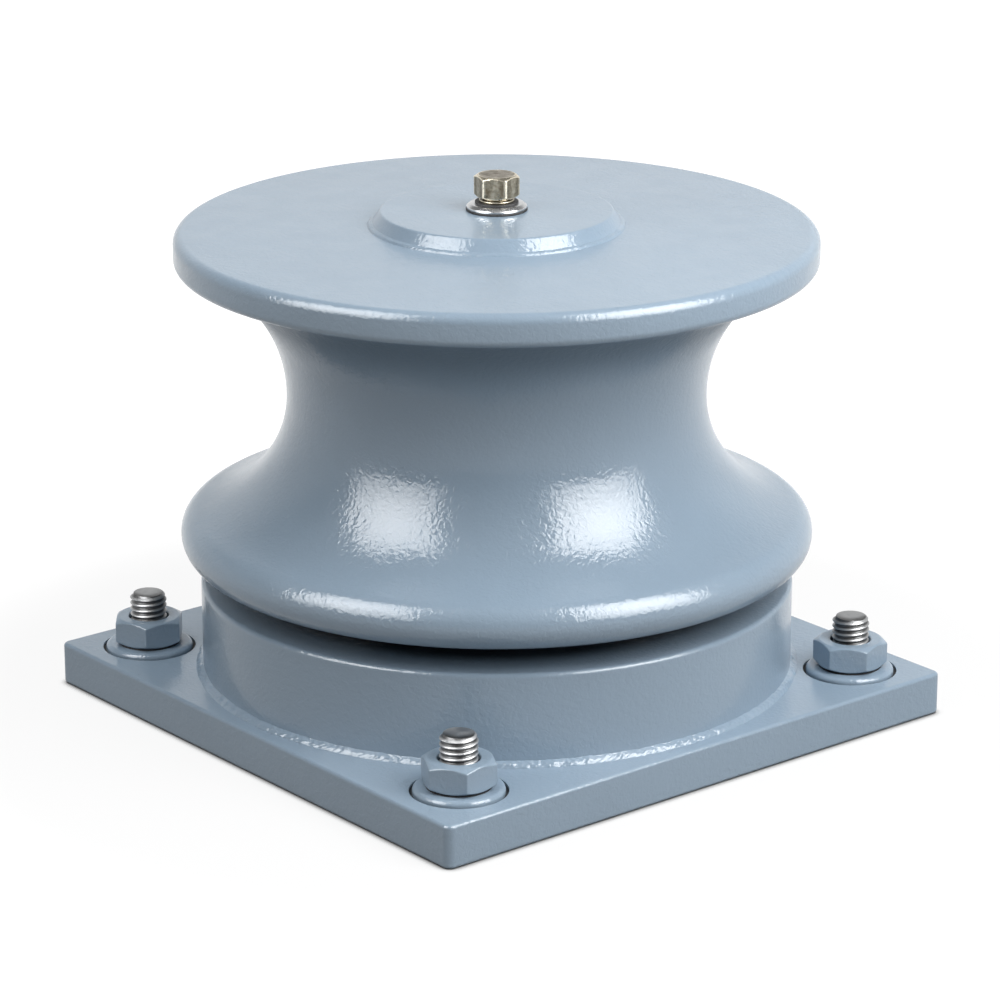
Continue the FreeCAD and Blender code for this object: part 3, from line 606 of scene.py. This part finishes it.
def makeDrum():
    topRadius, low, seat = span("roller_drum")[1:]
    high = seat - drum["crown"]
    under = high - drum["topThick"]
    recessFloor = high - drum["recessDeep"]
    bossLow = recessFloor - drum["bossDeep"]
    bevel, wall = drum["edge"], drum["wall"]
    topRound, underRound, lowRound = drum["topRound"], drum["underRound"], drum["lowRound"]

    # the groove's two arcs meet at the waist, and the lower one runs on into the low rim
    waistRadius, waist = drum["waistRadius"], low + drum["waistAbove"]
    grooveEnd = topRadius - underRound - drum["land"]
    upper = ((grooveEnd - waistRadius) ** 2 + (under - waist) ** 2) / 2 / (grooveEnd - waistRadius)
    rim = (drum["lowRadius"] - lowRound, low + lowRound)
    lower = (rim[0] - waistRadius) ** 2 + (waist - rim[1]) ** 2 - lowRound ** 2
    lower = lower / 2 / (drum["lowRadius"] - waistRadius)
    upperMiddle, lowerMiddle = (waistRadius + upper, waist), (waistRadius + lower, waist)
    end = math.degrees(math.asin((under - waist) / upper))
    meet = math.degrees(math.atan2(waist - rim[1], waistRadius + lower - rim[0]))

    # the hollow's wall runs beside them from the web up to the roof
    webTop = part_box("bottom_web")[1]
    webLevel, seatRadius = webTop.z / mm, webTop.x / mm + drum["webGap"]
    roof = high - drum["roofThick"]
    highTilt = math.degrees(math.asin((roof - waist) / (upper + wall)))
    lowTilt = math.degrees(math.asin((waist - webLevel) / (lower + wall)))

    outline = [
        (drum["recessRadius"], seat - bevel),
        (drum["recessRadius"] + bevel, seat),
        (drum["seatRadius"], seat),
        (topRadius - topRound - bevel, high),
    ]
    topSteps, underSteps, upperSteps, lowerSteps, rimSteps, wallSteps = drum["steps"]
    outline += arc((topRadius - topRound, high - topRound), topRound, 90, 0, topSteps)
    outline += arc((topRadius - underRound, under + underRound), underRound, 0, -90, underSteps)
    outline += [(grooveEnd + drum["flatStep"], under)]
    outline += arc(upperMiddle, upper, 180 - end, 180, upperSteps)
    outline += arc(lowerMiddle, lower, 180, 180 + meet, lowerSteps)[1:]
    outline += arc(rim, lowRound, meet, -90, rimSteps)[1:]
    outline += [
        (rim[0] - drum["flatStep"], low),
        (seatRadius + bevel, low),
        (seatRadius, low + bevel),
        (seatRadius, webLevel),
    ]
    outline += arc(lowerMiddle, lower + wall, 180 + lowTilt, 180, wallSteps)
    outline += arc(upperMiddle, upper + wall, 180, 180 - highTilt, wallSteps)[1:]
    outline += [
        (drum["bossRadius"], roof),
        (drum["bossRadius"], bossLow),
        (drum["boreRadius"], bossLow),
        (drum["boreRadius"], recessFloor),
        (drum["recessRadius"], recessFloor),
    ]
    piece = turn("rollerDrum", outline, drum["segments"])
    smooth(piece)
    settle(piece, "roller", "paint", "roller_drum")


makeDrum()
print("drum made")


# Pedestal ring and the welds

pedestal = {
    "segments": 320, "wall": 40.0, "edge": 3.0, "edgeSteps": 7, "flatStep": 1.0, "innerEdge": 0.8, "innerStep": 0.8,
}


def makePedestal():
    radius, low, high = span("pedestal_ring")[1:]
    edge, step = pedestal["edge"], pedestal["flatStep"]
    inner, innerEdge = radius - pedestal["wall"], pedestal["innerEdge"]
    away = innerEdge + pedestal["innerStep"]
    outline = [(inner, low), (radius, low), (radius, low + step), (radius, high - edge - step)]
    outline += arc((radius - edge, high - edge), edge, 0, 90, pedestal["edgeSteps"])
    outline += [
        (radius - edge - step, high),
        (inner + away, high),
        (inner + innerEdge, high),
        (inner, high - innerEdge),
        (inner, high - away),
        (inner, low + step),
    ]
    piece = turn("pedestalRing", outline, pedestal["segments"])
    smooth(piece)
    settle(piece, "base", "paint", "pedestal_ring")


beads = {
    "root": 1.0,
    "bulge": 0.9,
    "toeBack": 0.6,
    "steps": 10,
    "smoothing": 60,
    # reach up the wall and out along the floor, step at the toes, ripples round, their height, lumps, wander
    "pedestalWeld": {
        "up": 3.8, "out": 4.8, "step": 0.5, "ripples": 260, "ripple": 0.11, "lump": 0.85, "wander": 0.6,
        "segments": 1500, "inset": 0.0,
    },
    "coverWeld": {
        "up": 2.2, "out": 2.6, "step": 0.4, "ripples": 170, "ripple": 0.05, "lump": 0.35, "wander": 0.35,
        "segments": 900, "inset": 0.8,
    },
}


def makeBead(name, body, node, wallNode):
    # a bead in the corner between an upright wall and a level face, with a small step at each toe
    size, root, toeBack = beads[name], beads["root"], beads["toeBack"]
    inner = span(wallNode)[1] - size["inset"]
    low = span(node)[2]
    up, out, step = size["up"], size["out"], size["step"]
    outline = [(inner - root, low - root), (inner + out, low - root), (inner + out, low + step * 0.5)]
    first = Vector((inner + out - step * toeBack, low + step))
    last = Vector((inner + step, low + up - step * toeBack))
    bulge = Vector((up, out)).normalized() * step * beads["bulge"]
    for k in range(beads["steps"] + 1):
        share = k / beads["steps"]
        outline.append(tuple(first.lerp(last, share) + bulge * math.sin(math.pi * share)))
    outline += [(inner + step * 0.5, low + up), (inner - root, low + up)]
    piece = turn(name, outline, size["segments"])
    runTree(piece, beadTree, {
        "Ripples": float(size["ripples"]), "Ripple": size["ripple"] * mm, "Lump": size["lump"] * mm,
        "Wander": size["wander"] * mm, "Inner Radius": inner * mm, "Foot Level": low * mm,
        "Size": min(up, out) * mm, "Finish": finishes["paint"],
    })
    smooth(piece, beads["smoothing"])
    settle(piece, body, "paint", node)


makePedestal()
makeBead("pedestalWeld", "base", "pedestal_weld", "pedestal_ring")
makeBead("coverWeld", "roller", "cover_weld", "hub_cover")
print("pedestal and welds made")


# Cover

cover = {
    "segments": 224, "topRadius": 81.0, "edge": 1.1, "edgeSteps": 4, "flatStep": 0.9, "spigotRadius": 75.8,
    "boreRadius": 8.05, "spigotDeep": 6.0, "smoothing": 38,
}


def makeCover():
    radius, low, high = span("hub_cover")[1:]
    foot = low + cover["spigotDeep"]
    outline = soften([
        (cover["boreRadius"], low),
        (cover["spigotRadius"], low),
        (cover["spigotRadius"], foot),
        (radius, foot),
        (cover["topRadius"], high),
        (cover["boreRadius"], high),
    ], cover["edge"], cover["edgeSteps"], cover["flatStep"])
    piece = turn("hubCover", outline, cover["segments"])
    smooth(piece, cover["smoothing"])
    settle(piece, "roller", "paint", "hub_cover")


makeCover()
print("cover made")


# Holding-down bolts

washer = {"segments": 120, "hole": 14.0, "edge": 3.4, "edgeSteps": 8, "foot": 0.6, "flatStep": 0.8}
darkRing = {"segments": 96, "steps": 6, "hollow": 0.35}
# a black ring paints the shadow in the gap round each washer
washerGapShadow = {"tuck": 0.6, "gap": 2.2, "height": 0.9}
# a black ring paints the shadow in the gap under each nut
nutGapShadow = {"inner": 20.5, "outer": 22.3, "height": 0.9}
nut = {
    "flats": 46.0, "bore": 13.25, "wideBore": 14.3, "wideDeep": 4.5, "taper": 1.0, "sink": 0.7, "corner": 1.3,
    "edge": 0.75, "edgeSteps": 3, "flatStep": 0.35, "share": 0.95, "footRadius": 20.8, "footHeight": 1.2,
}
stud = {
    "segments": 72, "pitch": 4.2, "depth": 1.9, "shank": 13.5, "rod": 13.1, "chamfer": 2.3, "chamferSteps": 5,
    "endStep": 0.6, "rowStep": 0.3, "smoothing": 50,
}
nutTurns = (-26.9, -17.4, 12.0, 20.6)
# where points lie on one flat of a hexagon, as shares of its half width, and how many steps its corner has
flatShares = (-1, -0.97, -0.8, -0.6, -0.4, -0.2, 0, 0.2, 0.4, 0.6, 0.8, 0.97, 1)
cornerSteps = 5
chamferSlope = math.tan(math.radians(30))


def flatEnd(half, corner):
    # the direction in which a hexagon's flat ends and its rounded corner starts
    return math.atan((half - corner) * math.tan(math.pi / 6) / half)


def hexagonReach(half, corner, way):
    # how far a hexagon with rounded corners reaches in a direction counted from a flat's middle
    if abs(way) <= flatEnd(half, corner):
        return half / math.cos(way)
    tilt = math.pi / 6 - abs(way)
    middle = (half - corner) / math.cos(math.pi / 6)
    return middle * math.cos(tilt) + math.sqrt(corner**2 - (middle * math.sin(tilt)) ** 2)


def hexagonWays(half, corner):
    # directions round one sixth of a hexagon, closer together at its rounded corners
    tangent = flatEnd(half, corner)
    rest = math.pi / 3 - 2 * tangent
    ways = [tangent * share for share in flatShares]
    return ways + [tangent + rest * k / cornerSteps for k in range(1, cornerSteps)]


def makeHexagon(name, middle, flats, corner, turned, outlineAt):
    half = flats / 2
    columns = []
    for side in range(6):
        for way in hexagonWays(half, corner):
            inner = way if way <= math.pi / 6 else way - math.pi / 3
            outline = outlineAt(hexagonReach(half, corner, inner))
            angle = math.radians(turned + 30) + side * math.pi / 3 + way
            across, along = math.cos(angle), math.sin(angle)
            columns.append([(middle[0] + r * across, middle[1] + r * along, z) for r, z in outline])
    return weave(name, columns)


def makeNut(number):
    middle, radius, low, high = span(f"anchor_nut_{number}")
    face = nut["flats"] / 2 * nut["share"]
    bore, wide, sink = nut["bore"], nut["wideBore"], nut["sink"]
    foot, footRadius = low + nut["footHeight"], nut["footRadius"]
    wideLow = high - nut["wideDeep"]

    def outlineAt(reach):
        # stands on a round foot, and its bore widens to a black gap round the stud
        drop = (reach - face) * chamferSlope
        corners = [
            (bore, low), (footRadius, low), (footRadius, foot), (face, foot), (reach, foot + drop),
            (reach, high - drop), (face, high), (wide + sink, high), (wide, high - sink), (wide, wideLow),
            (bore, wideLow - nut["taper"]),
        ]
        return soften(corners, nut["edge"], nut["edgeSteps"], nut["flatStep"])

    piece = makeHexagon(f"anchorNut{number}", middle, nut["flats"], nut["corner"], nutTurns[number - 1], outlineAt)
    smooth(piece)
    settle(piece, "base", "paint", f"anchor_nut_{number}")


def makeWasher(number):
    middle, radius, low, high = span(f"anchor_washer_{number}")
    hole, edge, foot = washer["hole"], washer["edge"], washer["foot"]
    outline = [(hole, low), (radius - foot, low), (radius, low + foot)]
    outline += arc((radius - edge, high - edge), edge, 0, 90, washer["edgeSteps"])
    outline += [(radius - edge - washer["flatStep"], high), (hole, high)]
    piece = turn(f"anchorWasher{number}", outline, washer["segments"], middle)
    smooth(piece)
    settle(piece, "base", "paint", f"anchor_washer_{number}")


def makeStud(number):
    middle, radius, low, high = span(f"anchor_stud_{number}")
    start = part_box(f"anchor_washer_{number}")[0].z / mm
    shank, rod, chamfer, steps = stud["shank"], stud["rod"], stud["chamfer"], stud["chamferSteps"]
    threaded = high - chamfer - start
    rows = int(threaded / stud["rowStep"])
    outline = [(0, low), (shank, low), (shank, start)]
    outline += [(rod, start + threaded * k / rows) for k in range(rows + 1)]
    outline += [(rod - chamfer * k / steps, high - chamfer + chamfer * k / steps) for k in range(1, steps + 1)]
    outline += [(rod - chamfer - stud["endStep"], high), (0, high)]
    piece = turn(f"anchorStud{number}", outline, stud["segments"])
    runTree(piece, threadTree, {
        "Pitch": stud["pitch"] * mm, "Depth": stud["depth"] * mm, "Start": start * mm, "Top": high * mm,
        "Place": (middle[0] * mm, middle[1] * mm, 0.0), "Finish": finishes["stud_steel"],
    })
    smooth(piece, stud["smoothing"])
    settle(piece, "base", "stud_steel", f"anchor_stud_{number}")


def makeDarkRings(name, inner, outer, height, low):
    # one low black ring at each corner, a little hollow across its top, that stands for painted shadow in a gap
    middle = span("anchor_washer_2")[0]
    steps, hollow = darkRing["steps"], darkRing["hollow"] * height
    outline = [(inner, 0), (outer, 0), (outer, height)]
    outline += [
        (outer + (inner - outer) * k / steps, height - hollow * math.sin(math.pi * k / steps))
        for k in range(1, steps)
    ]
    outline += [(inner, height)]
    piece = turn(name, outline, darkRing["segments"])
    runTree(piece, cornerTree, {
        "Spacing": middle[0] * 2 * mm, "Level": low * mm, "Finish": finishes["seal_rubber"],
    })
    smooth(piece)
    settle(piece, "base", "seal_rubber")


for number in cornerNumbers:
    makeWasher(number)
    makeNut(number)
    makeStud(number)
radius, low, high = span("anchor_washer_2")[1:]
# a black ring round each washer paints the shadow in the spot face's gap
makeDarkRings("washerGapShadowRing", radius - washerGapShadow["tuck"], radius + washerGapShadow["gap"], washerGapShadow["height"], low)
# a black ring under each nut paints the shadow in the gap between nut and washer
makeDarkRings("nutGapShadowRing", nutGapShadow["inner"], nutGapShadow["outer"], nutGapShadow["height"], high)
print("bolts made")


# Grease plug, its collar and washers

plug = {
    "flats": 28.0, "corner": 1.0, "share": 0.93, "edge": 0.5, "edgeSteps": 3, "flatStep": 0.3, "turn": -15.6,
    "stem": 8.0, "stemBevel": 1.2, "stemGap": 0.05, "collar": 12.2, "collarHigh": 1.4, "neck": 10.0,
    "neckHigh": 1.5, "wornReach": 1.3, "wornCorner": 1.2,
}
plugRings = {
    "segments": 144, "edgeSteps": 4, "flatStep": 0.4,
    # node, slot, and the rounding of its edges
    "plugSeal": ("plug_seal", "seal_rubber", 0.6),
    "plugWasher": ("plug_washer", "washer_steel", 0.5),
    "plugGasket": ("plug_gasket", "seal_rubber", 0.5),
    "washerFlat": 18.6, "washerDrop": 1.9,
}


def makePlug():
    middle, radius, tip, high = span("grease_plug")
    foot = span("plug_gasket")[3]
    shoulder = foot + plug["collarHigh"]
    low = shoulder + plug["neckHigh"]
    half = plug["flats"] / 2
    face = half * plug["share"]
    stem, bevel, collar, neck = plug["stem"], plug["stemBevel"], plug["collar"], plug["neck"]

    def outlineAt(reach):
        # the shank and collar are round, and the head above them follows the hexagon
        drop = (reach - face) * chamferSlope
        corners = [
            (0, tip), (stem - bevel, tip), (stem, tip + bevel), (stem, foot), (collar, foot), (collar, shoulder),
            (neck, shoulder), (neck, low), (face, low), (reach, low + drop), (reach, high - drop), (face, high),
            (0, high),
        ]
        softened = soften(corners, plug["edge"], plug["edgeSteps"], plug["flatStep"])
        return [(max(r, 0.0), z) for r, z in softened]

    def wear(point):
        # 1 on an edge that hands and spanners rub, and less away from it
        away, level = math.hypot(point.x, point.y) / mm, point.z / mm
        drop = (away - face) * chamferSlope
        edges = [
            abs(away - face) + abs(level - high),
            abs(level - (high - drop)) + max(0, half - away),
            abs(level - (low + drop)) + max(0, half - away),
            abs(away - collar) + abs(level - shoulder),
        ]
        if level > low:
            edges.append((half / math.cos(math.pi / 6) - away) * plug["wornCorner"])
        return max(0.0, 1 - min(edges) / plug["wornReach"])

    piece = makeHexagon("greasePlug", middle, plug["flats"], plug["corner"], plug["turn"], outlineAt)
    attribute = piece.data.attributes.new("edge", "FLOAT", "POINT")
    attribute.data.foreach_set("value", [wear(vertex.co) for vertex in piece.data.vertices])
    smooth(piece)
    settle(piece, "roller", "plug_metal", "grease_plug")


def makePlugRing(name):
    node, slotName, edge = plugRings[name]
    radius, low, high = span(node)[1:]
    hole = plug["stem"] + plug["stemGap"]
    rim = [(radius, high)]
    if name == "plugWasher":
        rim = [(radius, high - plugRings["washerDrop"]), (plugRings["washerFlat"], high)]
    outline = [(hole, low), (radius, low), *rim, (hole, high)]
    outline = soften(outline, edge, plugRings["edgeSteps"], plugRings["flatStep"])
    piece = turn(name, outline, plugRings["segments"])
    smooth(piece)
    settle(piece, "roller", slotName, node)


makePlug()
for name in ("plugSeal", "plugWasher", "plugGasket"):
    makePlugRing(name)
print("plug made")


# Nodes that keep their own mesh

slotOf = {row["node"]: row["material_slot"] for row in frame["record"]["subparts"]}
for name, node in nodes.items():
    if name not in replacedNodes:
        node.data.materials.clear()
        node.data.materials.append(finishes[slotOf[name]])
print("own meshes dressed:", len(nodes) - len(replacedNodes))


# Studio

studio = {
    "floorColour": (0.2, 0.2, 0.2),
    "floorRadius": 14.0,
    "floorSegments": 96,
    "floorShare": 0.5,
    "floorGap": 0.0001,
    "floorGlow": (0.36, 0.6, 1.72, 2.15),
    # how far the painted contact shadow reaches round the plate, and its range
    "contactShadeReach": 0.007,
    "contactShadeRange": (0.25, 0.95),
    "skyFill": (0.2, 0.95, 0.0, 1.28),
    "skySeen": (0.05, 0.4, 1.0, 0.12),
    "skyTilt": 0.35,
    "aimLevel": 0.2,
    "boxes": (
        # way from the camera's side, lift and roll in degrees, distance, width, height, watts of light and of shine
        (-55.5, 38.0, 11.0, 1.3, 1.24, 1.46, 4.6, 40.0),
        (55.5, 38.0, -11.0, 1.3, 1.28, 1.50, 18.5, 55.0),
    ),
    "shineNearer": 0.02,
    "hotSpot": (0.5, 0.5, 0.0),
    "hotToRim": (0.0, 0.72, 2.0, 0.6),
    "tapers": (0.3, 0.22),
    "boxEdge": (-0.01, 0.01),
}


def makeFloor():
    mesh = bmesh.new()
    bmesh.ops.create_circle(
        mesh, cap_ends=True, radius=studio["floorRadius"], segments=studio["floorSegments"]
    )
    # a hair below the plate, so that the two faces never share a plane
    bmesh.ops.translate(mesh, verts=mesh.verts, vec=(0, 0, -studio["floorGap"]))
    floor = addPiece("floor", mesh)
    material, graph, place = startMaterial("whiteFloor")
    away = graph.vector("LENGTH", place, output=1)
    glow = graph.within(away, *studio["floorGlow"])
    # occlusion fades the floor's glow near the plate's edges, which paints a contact shadow there
    openness = graph.add("ShaderNodeAmbientOcclusion", {"samples": 8}, {"Distance": studio["contactShadeReach"]}, 1)
    share = graph.seen() * graph.within(openness, *studio["contactShadeRange"]) * studio["floorShare"]
    lit = graph.add("ShaderNodeBsdfDiffuse", None, {"Color": shade(studio["floorColour"])})
    white = graph.join(glow, glow, glow)
    shine = graph.add("ShaderNodeEmission", None, {"Color": white, "Strength": 1.0})
    both = graph.add("ShaderNodeMixShader", None, {0: share, 1: lit, 2: shine})
    graph.add("ShaderNodeOutputMaterial", None, {"Surface": both})
    floor.data.materials.append(material)


# the camera's place, as solved from the photograph
view = {
    "way": -39.32,
    "distance": 2798.3,
    "height": 1074.7,
    "yaw": 0.047,
    "pitch": -18.3,
    "lens": 149.42,
    "sensor": 36.0,
    "farEnd": 60000.0,
}


def makeWorld():
    world = bpy.data.worlds.new("studio")
    world.use_nodes = True
    world.node_tree.nodes.clear()
    graph = Graph(world.node_tree)
    seen = graph.seen()
    way = graph.add("ShaderNodeTexCoord", output="Generated")
    lift = graph.split(way)["Z"]
    fill = graph.within(lift, *studio["skyFill"])
    # the backdrop rises higher behind the object than on the camera's side
    side = math.radians(view["way"])
    slant = (math.cos(side) * studio["skyTilt"], math.sin(side) * studio["skyTilt"], 1)
    backdrop = graph.within(graph.vector("DOT_PRODUCT", way, slant, output=1), *studio["skySeen"])
    level = seen * backdrop + (1 - seen) * fill
    sky = graph.add("ShaderNodeBackground", None, {"Color": (1, 1, 1, 1), "Strength": level})
    graph.add("ShaderNodeOutputWorld", None, {"Surface": sky})
    bpy.context.scene.world = world


def lightLamp(lamp, inward):
    # a soft box is brighter near its bulb than at its rim, and narrower at its head than at its foot
    lamp.use_nodes = True
    lamp.node_tree.nodes.clear()
    graph = Graph(lamp.node_tree)
    spot = graph.split(graph.add("ShaderNodeNewGeometry", output="Parametric"))
    rise = spot["Y"]
    outward = spot["X"] if inward > 0 else 1 - spot["X"]
    away = graph.vector("DISTANCE", graph.join(outward, rise), studio["hotSpot"], output=1)
    inner, outer = studio["tapers"]
    strength = graph.within(away, *studio["hotToRim"])
    strength = strength * graph.within(outward - rise * inner, *studio["boxEdge"])
    strength = strength * graph.within(1 - outward - rise * outer, *studio["boxEdge"])
    emission = graph.add("ShaderNodeEmission", None, {"Strength": strength})
    graph.add("ShaderNodeOutputLight", None, {"Surface": emission})


def makeLamps():
    # each soft box is a lamp for the colours and a brighter one that only glosses mirror
    aimed = Vector((0, 0, studio["aimLevel"]))
    for k, (way, lift, roll, distance, width, height, light, shine) in enumerate(studio["boxes"]):
        angle, rise = math.radians(view["way"] + way), math.radians(lift)
        for kind, watts, nearer in (("Light", light, 0.0), ("Shine", shine, studio["shineNearer"])):
            lamp = bpy.data.lights.new(f"softbox{k + 1}{kind}", "AREA")
            lamp.shape = "RECTANGLE"
            lamp.size = width
            lamp.size_y = height
            lamp.energy = watts
            lightLamp(lamp, way)
            box = bpy.data.objects.new(lamp.name, lamp)
            box.visible_glossy = kind == "Shine"
            box.visible_diffuse = kind == "Light"
            reach = (distance - nearer) * math.cos(rise)
            level = (distance - nearer) * math.sin(rise) + studio["aimLevel"]
            box.location = (reach * math.cos(angle), reach * math.sin(angle), level)
            facing = (aimed - box.location).to_track_quat("-Z", "Y")
            box.rotation_euler = (facing @ Quaternion((0, 0, 1), math.radians(roll))).to_euler()
            bpy.context.scene.collection.objects.link(box)


def makeCamera():
    camera = bpy.data.cameras.new("photoView")
    camera.sensor_width = view["sensor"]
    camera.lens = view["lens"]
    camera.clip_end = view["farEnd"] * mm
    holder = bpy.data.objects.new("photoView", camera)
    way, distance = math.radians(view["way"]), view["distance"] * mm
    holder.location = (distance * math.cos(way), distance * math.sin(way), view["height"] * mm)
    holder.rotation_euler = (math.radians(90 + view["pitch"]), 0, way + math.radians(90 - view["yaw"]))
    bpy.context.scene.collection.objects.link(holder)
    bpy.context.scene.camera = holder


makeFloor()
makeWorld()
makeLamps()
makeCamera()
bpy.context.scene.view_settings.view_transform = "Standard"
print("studio made")
